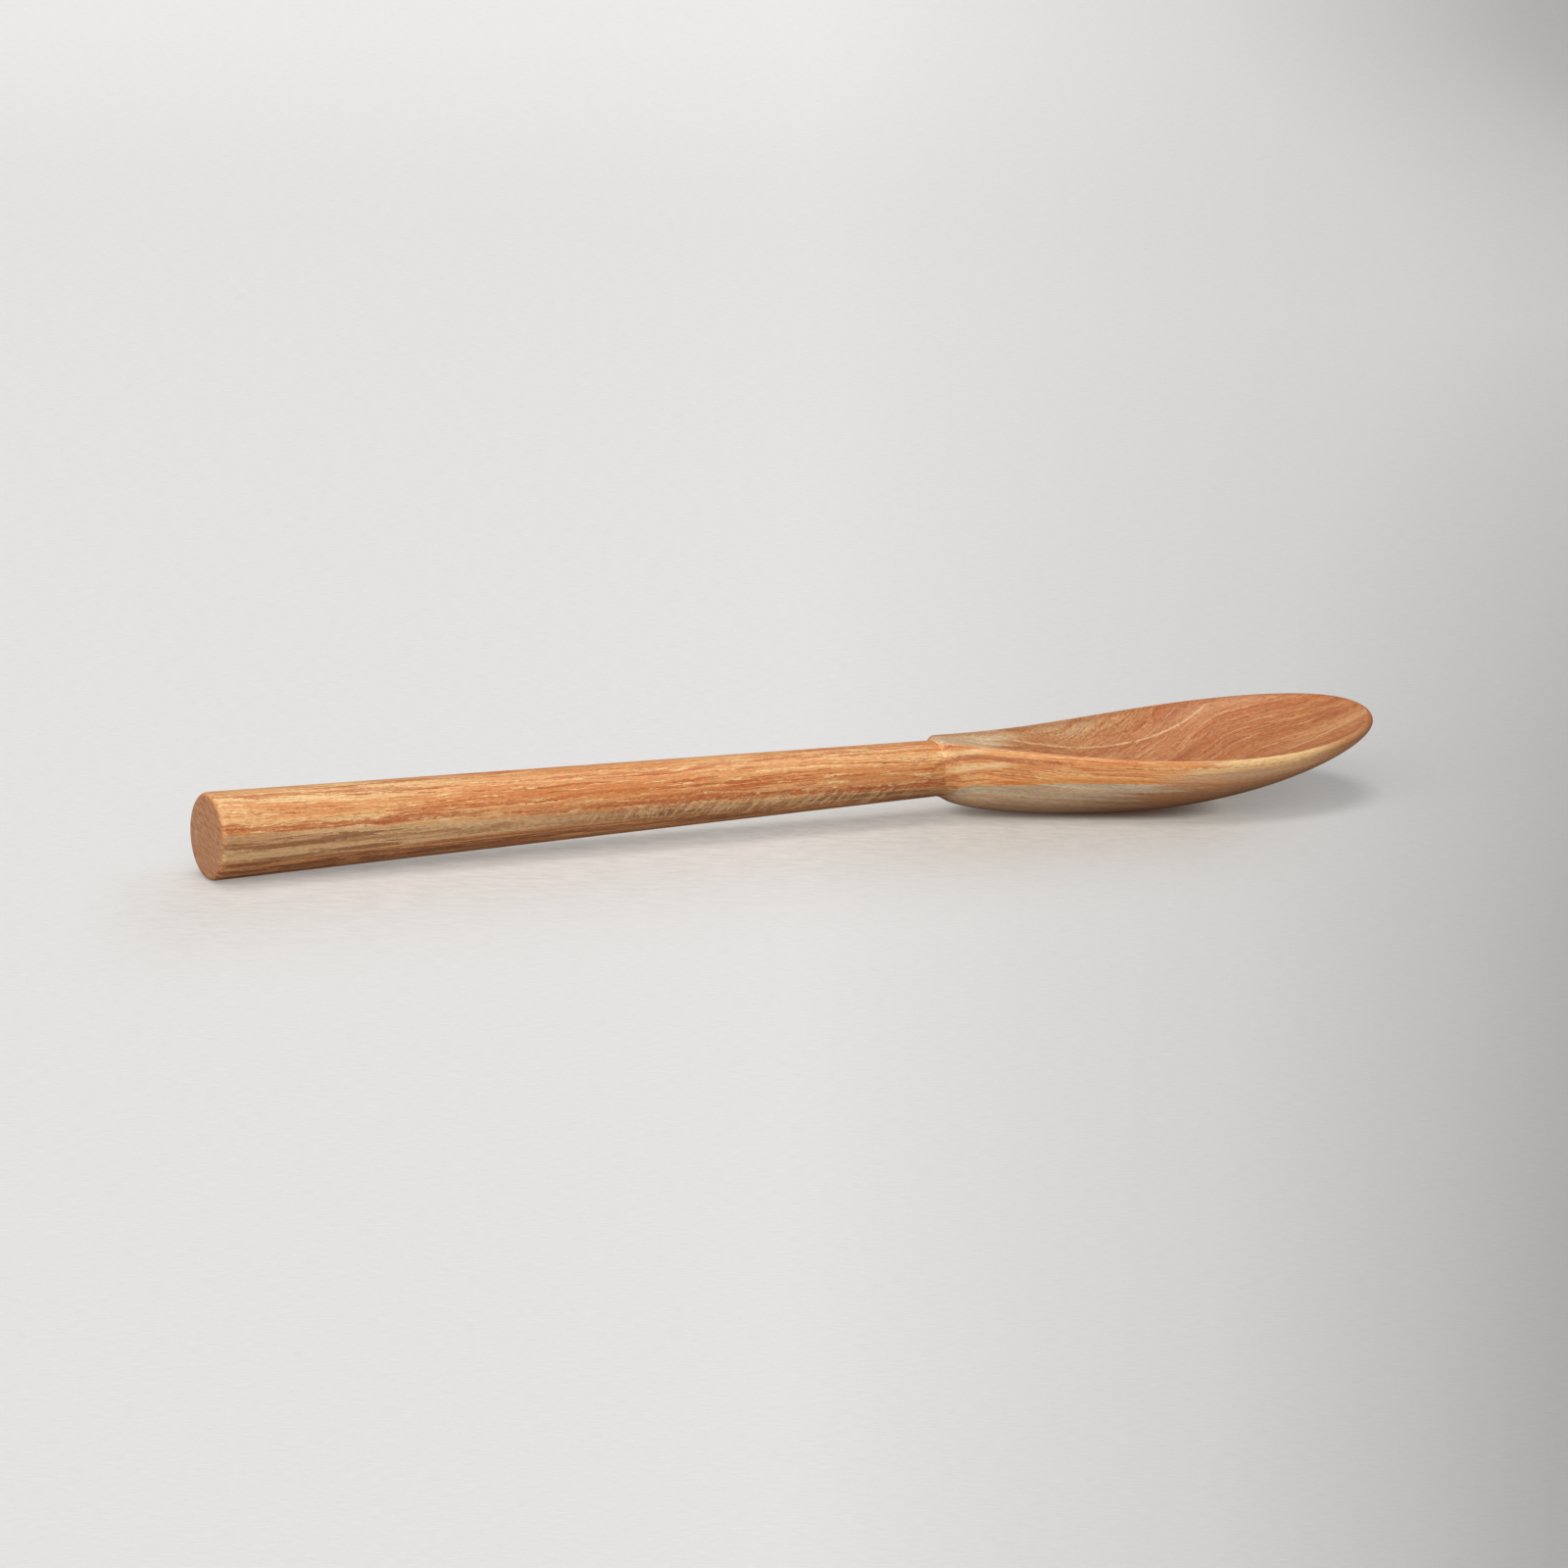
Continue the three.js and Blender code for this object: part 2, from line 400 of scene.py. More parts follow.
def neckBorder(point):
    # 0 on the handle's wood, 1 on the bowl's
    x, y, z = parts(point)
    frayed = alongGrain(point, *frayPattern) - 0.5
    shift = z.below(*neckLook["lowHeights"]) * neckLook["lowShift"]
    return (x - neckLook["border"] - shift + frayed * neckLook["ragged"]).above(-0.6, 0.8)


def neckStrokes(point, colour, tear):
    # orange wood at the top, and pale tongues and a dark streak that run over the joint
    x, y, z = parts(point)
    top = (z + tear * 1.5).above(*neckLook["topHeights"]) * x.below(*neckLook["topEnd"])
    colour = blend(top * 0.6, colour, tones["orange"])
    for tongue in neckLook["tongues"]:
        start, end, half = tongue["start"], tongue["end"], tongue["half"]
        off = abs(z - tongue["height"] - (x - start) * tongue["rise"] + tear * 1.2)
        amount = off.below(half * 0.5, half * 1.2) * x.above(start, start + 4) * x.below(end - 6, end)
        colour = blend(amount * 0.85, colour, neckLook["tongueTone"])
    dark = neckLook["dark"]
    start, bend = dark["start"], dark["bend"]
    climb = (x.math("MINIMUM", x, bend) - start) * dark["rise"]
    fall = x.math("MAXIMUM", x - bend, 0) * dark["fall"]
    off = abs(z - dark["height"] - (climb - fall) + tear * 1.2)
    amount = off.below(0.25, 0.9) * x.above(start - 3, start + 3) * x.below(*dark["end"])
    return blend(amount * 0.75, colour, neckLook["darkTone"])


# End grain on the sawn end
endLook = {
    "turn": -22,
    "across": (0.3, 2.2),  # scale along and across the rings
    "tones": [(0.42, shade(172, 106, 64)), (0.5, shade(194, 134, 90)), (0.6, shade(208, 158, 112))],
    "facing": (-0.97, -0.7),
}


def handleWood():
    material, surface, shader = newMaterial("handleWood")
    point = objectPoint(shader)
    colour, grain = handleColour(point)
    bowlSide = neckStrokes(point, heartColour(grain, bowlLook), grain["tear"])
    colour = blend(neckBorder(point), colour, bowlSide)

    facing = parts(shader.node("ShaderNodeTexCoord", output="Normal"))[0]
    turned = point.node("ShaderNodeMapping", None, {
        "Vector": point, "Rotation": (radians(endLook["turn"]), 0, 0),
    })
    fibres = noise(scaled(turned, 0, *endLook["across"]), 4, 0.75)
    colour = blend(facing.below(*endLook["facing"]), colour, fibres.ramp(endLook["tones"]))
    finish(surface, colour, grain, handleLook)
    return material


bowlLook = {
    "roughness": 0.46,
    "relief": 0.3,
    "fibre": 212,
    "tear": 0.8,
    "bend": 3,
    "base": (shade(222, 144, 82), shade(236, 172, 108), shade(244, 196, 136)),
    "streakShare": 0.8,
    "streakTone": shade(208, 120, 66),
    "lineShare": 0.85,
    "lineTone": shade(192, 98, 52),
    "fleckShare": 0.6,
    "fleckTone": tones["straw"],
    "sapTones": (shade(182, 154, 122), shade(206, 184, 154)),
    "sapLineShare": 0.35,
    "sapLineTone": tones["tan"],
    "sapTop": 9.2,
    "sapDrops": [((36, 44), 1.4), ((44, 62), 0.6)],  # it lies this much lower on the neck's side
    "paintedLowShade": (2, 8),
    "neckBark": (36, 40),
    "girthScale": 1.4,
    "depthScale": 0.08,
    "streakRise": 4,  # the streaks climb this far towards the rim beside the shoulder
    "riseReach": (28, 48),
    "ownGrain": (37, 43),  # the handle's grain goes over into the bowl's own
    "ridgeDrop": 0.8,
    "ridgeStart": (35, 37),
    "ridgeEnd": (40, 48),
    "amberAbove": 0.5,
    "amberStart": (42, 50),
    # the warm wood ends in a ragged slanting border, and pale wood goes on to the tip
    "tipStart": 68,  # at the floor's level, and further on higher up
    "tipSlant": 1.6,
    "tipRagged": 50,
    "rimBand": (2.6, 4.4),  # how far the straw tone reaches down from the rim
    "rimLevelAt": 91,
    "rimRise": 0.07,
    "rimTone": shade(236, 194, 136),
    "clayStart": (116, 134),
    "redStart": (136, 147),
    # where the painted shade on the underside lies
    "undersideShadeStart": (58, 78),
    "undersideShadeEnd": (102, 116),
    "undersideShadeHeights": (4, 12),
}


def girthOf(shader):
    # how far round the section a point lies from the rim's crest, more than 0 on the outside
    return parts(shader.node("ShaderNodeAttribute", {"attribute_name": "flow"}, None, "Vector"))[1]


def bowlWood():
    # outside: the streaks run along the wall, at an even distance from the rim
    look = bowlLook
    material, surface, shader = newMaterial("bowlWood")
    point = objectPoint(shader)
    x, y, z = parts(point)
    girth = girthOf(shader)
    handleTone, handleGrain = handleColour(point)
    rise = x.above(*look["riseReach"]) * look["streakRise"]
    grain = grainOf(joined(x, girth * look["girthScale"] + rise, y * look["depthScale"]), look)
    grain = mixedGrain(x.above(*look["ownGrain"]), handleGrain, grain)
    warm = neckStrokes(point, heartColour(grain, look), grain["tear"])

    # a thin red line along the deck's edge
    ridge = abs(girth - look["ridgeDrop"] + grain["tear"]).below(0.1, 0.4)
    ridge = ridge * x.above(*look["ridgeStart"]) * x.below(*look["ridgeEnd"])
    warm = blend(ridge * 0.65, warm, tones["deepRed"])

    # an amber edge just above the sapwood, which is painted darker low down as shade, and is browner at the
    # neck
    sapTop = look["sapTop"]
    for ends, drop in look["sapDrops"]:
        sapTop = sapTop - x.below(*ends) * drop
    edge = z - sapTop + grain["tear"] * 0.8 + grain["bend"] * 2
    amberAmount = abs(edge - look["amberAbove"]).below(0.3, 1) * x.above(*look["amberStart"])
    warm = blend(amberAmount * 0.55, warm, tones["amber"])
    pale = sapColour(grain, look)
    # painted shade: the sapwood darkens towards the floor
    pale = blend(z.below(*look["paintedLowShade"]) * 0.6, pale, tones["bark"])
    pale = blend(x.below(*look["neckBark"]) * 0.5, pale, tones["bark"])

    # the pale tip: straw near the rim, grey-beige below, brown low down
    fromRim = abs(girth) + (grain["broad"] - 0.5) * 8 + (x - look["rimLevelAt"]) * look["rimRise"]
    rimTone = blend(fromRim.above(*look["rimBand"]), look["rimTone"], blend(0.5, pale, tones["tan"]))
    rimTone = blend(grain["streak"].above(0.52, 0.56) * 0.6, rimTone, tones["honey"])
    rimTone = blend(grain["line"].above(0.56, 0.6) * 0.5, rimTone, tones["clay"])
    rimTone = blend(fromRim.above(5, 9) * 0.7, rimTone, tones["brown"])
    rimTone = blend(x.above(*look["clayStart"]) * 0.8, rimTone, tones["clay"])
    redAmount = x.above(*look["redStart"]) * grain["streak"].above(0.44, 0.52)
    rimTone = blend(redAmount * 0.6, rimTone, tones["deepRed"])

    reach = x - z * look["tipSlant"] - look["tipStart"] + (grain["streak"] - 0.5) * look["tipRagged"]
    colour = blend(reach.above(-2, 4), blend(edge.below(-0.1, 0.2), warm, pale), rimTone)
    # painted shade: umber low on the underside, between the middle and the tip
    paintedUndersideShade = x.above(*look["undersideShadeStart"]) * x.below(*look["undersideShadeEnd"]) * z.below(*look["undersideShadeHeights"])
    colour = blend(paintedUndersideShade * 0.4, colour, tones["umber"])
    finish(surface, blend(neckBorder(point), handleTone, colour), grain, look)
    return material


hollowLook = {
    "roughness": 0.52,
    "relief": 0.25,
    "fibre": 205,
    "tear": 0.7,
    "bend": 3,
    "base": (tones["clayDark"], tones["clay"], tones["clayPale"]),
    "streakShare": 0.75,
    "streakTone": shade(186, 106, 56),
    "lineShare": 0.7,
    "lineTone": shade(168, 90, 48),
    "fleckShare": 0.45,
    "fleckTone": shade(228, 174, 120),
    "sapTones": (shade(214, 178, 136), shade(232, 204, 164)),
    "sapLineShare": 0.3,
    "sapLineTone": tones["tan"],
    "deckEnd": (48, 56),  # pale wood from the shoulder to here
    "deckSlant": 0.8,
    "deckRagged": 40,
    "grainScale": (1.2, 0.55, 0.05),  # along, across and up
    "fan": 0.3,
    "fanSwings": [((70, 125), 12), ((118, 165), -24)],
    # the growth ring is straight, and bends away towards its far end
    "ring": {"place": (55.6, 10), "slope": 0.185, "bendAt": 98, "bend": 0.0062},
    "ringStart": (50, 60),
    "ringEnd": (119, 124),
    "ringTone": shade(236, 196, 144),
    "featherStart": (52, 62),
    "featherEnd": (82, 104),
    # a line seen from above goes through its place, and is gone beyond its reach
    "tipLine": {"place": (125, -8.6), "slope": 0.01, "reach": (0.08, 0.35), "start": (122, 128)},
    "tipSide": {"place": (125, -6), "slope": -0.1, "reach": (1, 3.5), "start": (118, 130)},
    "stepHeights": (17.9, 18.2),
    "stepEnd": (36.5, 38),
    "nearHighlightStart": (80, 96),
    "nearHighlightEnd": (118, 134),
}


def nearLine(x, y, line):
    placeX, placeY = line["place"]
    off = abs(y - placeY - (x - placeX) * line["slope"])
    return off.below(*line["reach"]) * x.above(*line["start"])


def offRing(x, y, ring):
    placeX, placeY = ring["place"]
    late = x.math("MAXIMUM", x - ring["bendAt"], 0)
    return y - placeY - (x - placeX) * ring["slope"] - late * late * ring["bend"]


def hollowWood():
    # inside: seen from above, the grain fans out from the neck and bends back towards the tip
    look = hollowLook
    material, surface, shader = newMaterial("hollowWood")
    point = objectPoint(shader)
    x, y, z = parts(point)
    girth = girthOf(shader)
    fan = x * look["fan"]
    for ends, swing in look["fanSwings"]:
        fan = fan + x.above(*ends) * swing
    along, across, up = look["grainScale"]
    grain = grainOf(joined(x * along, (y - fan) * across, z * up), look)
    colour = heartColour(grain, look)

    # a growth ring with a paler side, a feathered patch beyond it, and a fine line at the tip
    broken = grain["fleck"].above(0.3, 0.42)
    off = offRing(x, y + grain["tear"] * 0.8, look["ring"])
    span = x.above(*look["ringStart"]) * x.below(*look["ringEnd"])
    ring = abs(off).below(0.1, 0.5) * span * broken
    ringSide = abs(off - 1.6).below(0.5, 2.2) * span
    feather = off.above(2, 5) * grain["streak"].above(0.49, 0.54)
    feather = feather * x.above(*look["featherStart"]) * x.below(*look["featherEnd"])
    tipLine = nearLine(x, y + grain["tear"] * 0.3, look["tipLine"])
    tipSide = nearLine(x, y, look["tipSide"])
    colour = blend(ringSide * 0.3, colour, tones["clayPale"])
    colour = blend(feather * 0.65, colour, tones["beige"])
    colour = blend(ring * 0.7, colour, look["ringTone"])
    colour = blend(tipSide * 0.4, colour, tones["clayPale"])
    colour = blend(tipLine * broken * 0.6, colour, look["ringTone"])

    # the pale deck at the shoulder, with warm wood on the near side of its step
    slant = x - x.math("MAXIMUM", y, 0) * look["deckSlant"] + (grain["streak"] - 0.5) * look["deckRagged"]
    colour = blend(slant.below(*look["deckEnd"]) * 0.9, colour, sapColour(grain, look))
    nearStep = z.below(*look["stepHeights"]) * x.below(*look["stepEnd"]) * y.below(-1.2, -0.4)
    colour = blend(nearStep, colour, heartColour(grain, bowlLook))

    # the redder far edge, and a painted highlight along the near edge
    colour = blend(abs(girth).below(0.8, 2) * y.above(0, 4) * 0.45, colour, tones["clayDark"])
    # painted highlight: straw flecks along the near rim's crest
    lip = abs(girth).below(0.4, 1.4) * y.below(-4, 0)
    lip = lip * x.above(*look["nearHighlightStart"]) * x.below(*look["nearHighlightEnd"])
    colour = blend(lip * grain["fleck"].above(0.4, 0.52) * 0.6, colour, tones["straw"])
    colour = blend(neckBorder(point), handleColour(point)[0], colour)
    finish(surface, colour, grain, look)
    return material


print("shaders ready")


# Modelling helpers, in millimetres
slack = 0.01
weldReach = 0.001


def deselectAll():
    bpy.ops.object.select_all(action="DESELECT")


def pick(piece, kind, test):
    net = bmesh.from_edit_mesh(piece.data)
    for item in (*net.faces, *net.edges, *net.verts):
        item.select_set(False)
    for item in getattr(net, kind):
        if test(item):
            item.select_set(True)
    bmesh.update_edit_mesh(piece.data)


def middleOf(edge):
    return (edge.verts[0].co + edge.verts[1].co) / 2


def settle(piece, name, place, turn=0):
    # puts the finished piece in its place, in metres, with its object at the origin
    piece.name = name
    piece.data.name = name
    piece.location = [value * mm for value in place]
    piece.rotation_euler = (0, turn, 0)
    piece.scale = (mm, mm, mm)
    deselectAll()
    piece.select_set(True)
    bpy.context.view_layer.objects.active = piece
    bpy.ops.object.transform_apply(location=True, rotation=True, scale=True)


# Handle, turned: thick at its free end, drilled at the neck
handle = {
    "length": 185,
    "endDiameter": 20.4,
    "neckDiameter": 13.3,
    "endEdge": 0.8,
    "endRound": 1.4,
    "endSteps": 8,
    "neckEdge": 0.05,
    "neckSteps": 4,
    "neckHeight": 11.6,
    "glueGap": 0.3,
    "glueLine": 0.02,
    "socketDiameter": 7.6,
    "socketMouth": 0.4,
    "socketDepth": 23,
    "drillPoint": 2.3,
    "sides": 128,
    "rings": 30,
    "sharpFrom": 40,  # degrees
}


def handleTilt():
    along = handle["glueGap"] + handle["length"] - handle["endEdge"]
    out = handle["endDiameter"] / 2 - handle["endEdge"]
    drop = handle["neckHeight"] - handle["endEdge"]
    return asin(drop / hypot(along, out)) - atan2(out, along)


def makeHandle(shoulderX):
    half = handle["length"] / 2
    neckRadius = handle["neckDiameter"] / 2
    socketRadius = handle["socketDiameter"] / 2
    mouthRadius = socketRadius + handle["socketMouth"]

    deselectAll()
    bpy.ops.mesh.primitive_cone_add(
        vertices=handle["sides"], depth=handle["length"],
        radius1=handle["endDiameter"] / 2, radius2=neckRadius,
    )
    piece = bpy.context.object
    bpy.ops.object.mode_set(mode="EDIT")

    # rounded end edges
    pick(piece, "edges", lambda edge: middleOf(edge).z < slack - half and edge.calc_face_angle() > 1)
    bpy.ops.mesh.bevel(offset=handle["endRound"], segments=handle["endSteps"], affect="EDGES")
    pick(piece, "edges", lambda edge: middleOf(edge).z > half - slack and edge.calc_face_angle() > 1)
    bpy.ops.mesh.bevel(offset=handle["neckEdge"], segments=handle["neckSteps"], affect="EDGES")

    # the socket, with its chamfered mouth and the drill's point
    pick(piece, "faces", lambda face: face.normal.z > 0.99)
    bpy.ops.mesh.inset(thickness=neckRadius - handle["neckEdge"] - mouthRadius)
    bpy.ops.mesh.extrude_region_move(TRANSFORM_OT_translate={"value": (0, 0, -handle["socketMouth"])})
    narrow = socketRadius / mouthRadius
    bpy.ops.transform.resize(value=(narrow, narrow, 1))
    sink = handle["socketMouth"] - handle["socketDepth"]
    bpy.ops.mesh.extrude_region_move(TRANSFORM_OT_translate={"value": (0, 0, sink)})
    bpy.ops.mesh.extrude_region_move(TRANSFORM_OT_translate={"value": (0, 0, -handle["drillPoint"])})
    bpy.ops.transform.resize(value=(0, 0, 1))
    bpy.ops.mesh.select_all(action="SELECT")
    bpy.ops.mesh.remove_doubles(threshold=weldReach)

    # rings along the taper, short of the socket
    socketEnd = half - handle["socketDepth"] - handle["drillPoint"]
    for ring in range(1, handle["rings"]):
        height = half * (2 * ring / handle["rings"] - 1)
        if height < socketEnd - 1:
            bpy.ops.mesh.select_all(action="SELECT")
            bpy.ops.mesh.bisect(plane_co=(0, 0, height), plane_no=(0, 0, 1))

    # the glued neck closes up to the bowl's shoulder
    pick(piece, "verts", lambda vert: vert.co.z > half - handle["socketMouth"] - slack)
    bpy.ops.transform.translate(value=(0, 0, handle["glueGap"] - handle["glueLine"]))
    bpy.ops.mesh.select_all(action="SELECT")
    bpy.ops.mesh.normals_make_consistent(inside=False)
    bpy.ops.object.mode_set(mode="OBJECT")

    tilt = handleTilt()
    back = half + handle["glueGap"]
    place = (shoulderX - back * cos(tilt), 0, handle["neckHeight"] - back * sin(tilt))
    settle(piece, "turnedHandle", place, pi / 2 - tilt)
    bpy.ops.object.shade_smooth_by_angle(angle=radians(handle["sharpFrom"]))
    piece.data.materials.append(handleWood())
    return piece


# Bowl, carved: half of each cross section is drawn from the keel round the lip to the hollow's middle
bowl = {
    "flareLength": 76.5,
    "tipLength": 38.2,
    "width": 60,
    "flareAtShoulder": 0.21,
    "tipRoundness": 2.05,
    "shoulderStep": 0.5,
    "shoulderEase": 1.9,
    "shoulderCurve": 1.3,
    "sideEase": 14,
    "keelEase": 5,
    "deckWidth": 7.6,
    "rimLowAt": 59,
    "rimLowHeight": 14.6,
    "rimSlopeAtShoulder": -0.12,
    "rimSlopeAtTip": 0.16,
    "tipHeight": 19.1,
    "tipThickness": 3,
    "restAt": 39,
    "restSanding": 0.2,
    "keelSlopeAtShoulder": -0.34,
    "keelSlopeAtTip": 0.33,
    "noseLength": 6,
    "lipOuterRound": 1.3,
    "lipInnerRound": 0.9,
    "lipInnerDrop": 0.35,
    "mouthAt": 2.4,
    "mouthSlope": 0.1,
    "hollowDepth": 9,
    "hollowDeepAt": 55,
    "hollowSlopeAtTip": -0.3,
    "hollowFullness": 0.8,
    "outerSquareness": 3.6,  # 2 is an ellipse
    "tipSquareness": 1.85,
    "roundFade": 10,
    "tenonDiameter": 7,
    "tenonLength": 22,
    "tenonChamfer": 0.8,
    "hullPoints": 12,
    "outerLipPoints": 4,
    "innerLipPoints": 3,
    "hollowPoints": 10,
    "shoulderRings": 4,
    "flareRings": 20,
    "flareCrowding": 1.6,  # closer rings near the shoulder
    "tipRings": 14,
    "smoothing": 2,
    "sharpFrom": 50,  # degrees
}
bowl["length"] = bowl["flareLength"] + bowl["tipLength"]
bowl["shoulderRadius"] = handle["neckDiameter"] / 2 + bowl["shoulderStep"]


def curve(places, at):
    # smooth line through places of (where, height, slope)
    start, end = places[0], places[1]
    for place, following in zip(places[1:], places[2:]):
        if at > place[0]:
            start, end = place, following
    run = end[0] - start[0]
    t = (at - start[0]) / run
    share = t * t * (3 - 2 * t)
    swing = run * t * (1 - t) * (start[2] * (1 - t) - end[2] * t)
    return start[1] * (1 - share) + end[1] * share + swing


def rimAt(at):
    top = handle["neckHeight"] + bowl["shoulderRadius"]
    return curve([
        (0, top, bowl["rimSlopeAtShoulder"]),
        (bowl["rimLowAt"], bowl["rimLowHeight"], 0),
        (bowl["length"], bowl["tipHeight"], bowl["rimSlopeAtTip"]),
    ], at)


def keelAt(at):
    bottom = handle["neckHeight"] - bowl["shoulderRadius"]
    return curve([
        (0, bottom, bowl["keelSlopeAtShoulder"]),
        (bowl["restAt"], -bowl["restSanding"], 0),
        (bowl["length"], bowl["tipHeight"] - bowl["tipThickness"], bowl["keelSlopeAtTip"]),
    ], at)


def depthAt(at):
    lip = bowl["lipOuterRound"] + bowl["lipInnerRound"]
    return curve([
        (bowl["mouthAt"], 0, bowl["mouthSlope"]),
        (bowl["hollowDeepAt"], bowl["hollowDepth"], 0),
        (bowl["length"] - lip, bowl["lipInnerDrop"], bowl["hollowSlopeAtTip"]),
    ], max(at, bowl["mouthAt"]))


def squared(t, squareness):
    # a quarter of a squared ellipse, from its side at 0 to its top or bottom at 1
    power = 2 / squareness
    side = cos(t * pi / 2) ** power if t < 1 else 0
    return side, sin(t * pi / 2) ** power


def flareStation(at):
    half = curve([
        (0, bowl["shoulderRadius"], bowl["flareAtShoulder"]),
        (bowl["flareLength"], bowl["width"] / 2, 0),
    ], at)
    return at, half, 0, 1


def tipStation(t):
    side, forward = squared(t, bowl["tipRoundness"])
    power = bowl["tipRoundness"] - 1
    across = side ** power / (bowl["width"] / 2)
    along = forward ** power / bowl["tipLength"]
    size = hypot(across, along)
    at = bowl["flareLength"] + bowl["tipLength"] * forward
    return at, bowl["width"] / 2 * side, along / size, across / size


def halfSection(station):
    at, half, normalX, normalY = station
    lipRound = bowl["lipOuterRound"]
    fade = exp(-at / bowl["roundFade"])
    outerRound = lipRound + (bowl["shoulderRadius"] - bowl["deckWidth"] / 2 - lipRound) * fade
    roundHeight = lipRound + (bowl["shoulderRadius"] - lipRound) * fade
    softening = (bowl["outerSquareness"] - bowl["tipSquareness"]) * (at / bowl["length"]) ** 3
    squareness = bowl["outerSquareness"] - (bowl["outerSquareness"] - 2) * fade - softening

    crest = rimAt(at)
    sideHeight = crest - roundHeight
    nose = min(max((at - bowl["length"] + bowl["noseLength"]) / bowl["noseLength"], 0), 1)
    hullDepth = (sideHeight - keelAt(at)) * sqrt(1 - nose ** 2)
    points = []
    for step in range(bowl["hullPoints"], -1, -1):
        side, drop = squared(step / bowl["hullPoints"], squareness)
        points.append((at, half * side, max(sideHeight - hullDepth * drop, 0)))

    def inside(inset, height):
        return at - inset * normalX, half - inset * normalY, height

    for step in range(1, bowl["outerLipPoints"] + 1):
        angle = step / bowl["outerLipPoints"] * pi / 2
        points.append(inside(outerRound * (1 - cos(angle)), sideHeight + roundHeight * sin(angle)))
    edgeX, edgeY = inside(outerRound + bowl["lipInnerRound"], crest)[:2]
    depth = depthAt(edgeX)
    innerDrop = min(bowl["lipInnerDrop"], depth / 2)
    for step in range(1, bowl["innerLipPoints"] + 1):
        t = step / bowl["innerLipPoints"]
        points.append(inside(outerRound + bowl["lipInnerRound"] * t, crest - innerDrop * t * t))
    for step in range(1, bowl["hollowPoints"] + 1):
        t = step / bowl["hollowPoints"]
        drop = sin(t * pi / 2) ** (2 * bowl["hollowFullness"])
        across = edgeY * cos(t * pi / 2) if t < 1 else 0
        points.append((edgeX, across, crest - innerDrop - (depth - innerDrop) * drop))
    return points


def shoulderRing(t):
    # between the neck's round, at 0, and the full section, at 1
    rise = 1 - (1 - t) ** bowl["shoulderCurve"]
    middle = handle["neckHeight"]
    ring = []
    for x, y, z in halfSection(flareStation(bowl["shoulderEase"])):
        share = rise + (1 - rise) * handle["neckDiameter"] / 2 / hypot(y, z - middle)
        ring.append((x * t, y * share, middle + (z - middle) * share))
    return ring


def tenonRing(along, radius):
    tilt = handleTilt()
    middle = handle["neckHeight"]
    ring = []
    for x, y, z in halfSection(flareStation(bowl["shoulderEase"])):
        angle = atan2(z - middle, y)
        up = radius * sin(angle)
        out = radius * max(cos(angle), 0)
        ring.append((along * cos(tilt) - up * sin(tilt), out, middle + along * sin(tilt) + up * cos(tilt)))
    return ring


def eased(ring, section, at):
    # the section grows out of the neck's round slowly at its sides, quickly at the keel, at once at the deck
    middle = handle["neckHeight"]
    heights = [z for x, y, z in section]
    points = []
    for (x, y, z), height in zip(ring, heights):
        end, ease = (max(heights), 0) if height > middle else (min(heights), bowl["keelEase"])
        level = ((height - middle) / (end - middle)) ** 4
        length = bowl["sideEase"] * (1 - level) + ease * level
        rise = min(at / max(length, 0.01), 1)
        rise = rise * rise * (3 - 2 * rise)
        away = hypot(y, z - middle)
        excess = max(away - handle["neckDiameter"] / 2, 0)
        share = 1 - (1 - rise) * excess / max(away, 1)
        points.append((x, y * share, middle + (z - middle) * share))
    return points


def bowlRings():
    tenon = bowl["tenonDiameter"] / 2
    length = bowl["tenonLength"]
    chamfer = bowl["tenonChamfer"]
    rings = [
        tenonRing(-length, 0),
        tenonRing(-length, tenon - chamfer),
        tenonRing(chamfer - length, tenon),
        tenonRing(0, tenon),
        tenonRing(0, handle["neckDiameter"] / 2 - handle["neckEdge"]),
    ]
    shoulder = halfSection(flareStation(bowl["shoulderEase"]))
    for step in range(bowl["shoulderRings"] + 1):
        share = max(step / bowl["shoulderRings"], 0.02)
        rings.append(eased(shoulderRing(share), shoulder, share * bowl["shoulderEase"]))
    run = bowl["flareLength"] - bowl["mouthAt"]
    for step in range(bowl["flareRings"] + 1):
        at = bowl["mouthAt"] + run * (step / bowl["flareRings"]) ** bowl["flareCrowding"]
        section = halfSection(flareStation(at))
        rings.append(eased(section, section, at))
    for step in range(1, bowl["tipRings"] + 1):
        rings.append(halfSection(tipStation(step / bowl["tipRings"])))
    return rings


def girthMarks(section):
    # how far round the section each point lies from the rim's crest, more than 0 on the outside
    marks = [0]
    for before, after in zip(section, section[1:]):
        marks.append(marks[-1] - dist(before, after))
    crest = marks[bowl["hullPoints"] + bowl["outerLipPoints"]]
    return [mark - crest for mark in marks]


def shapeRing(piece, points):
    # moves the selected ring's vertices, one by one, to their places on the section
    net = bmesh.from_edit_mesh(piece.data)
    flow = net.verts.layers.float_vector["flow"]
    ring = sorted((vert for vert in net.verts if vert.select), key=lambda vert: vert[flow].z)
    for vert in ring:
        vert.select_set(False)
    for order, (vert, point, mark) in enumerate(zip(ring, points, girthMarks(points))):
        vert.select_set(True)
        bpy.ops.transform.translate(value=Vector(point) - vert.co)
        vert.select_set(False)
        vert[flow] = (point[0], mark, order)
    for vert in ring:
        vert.select_set(True)
    net.select_flush(True)
    bmesh.update_edit_mesh(piece.data)


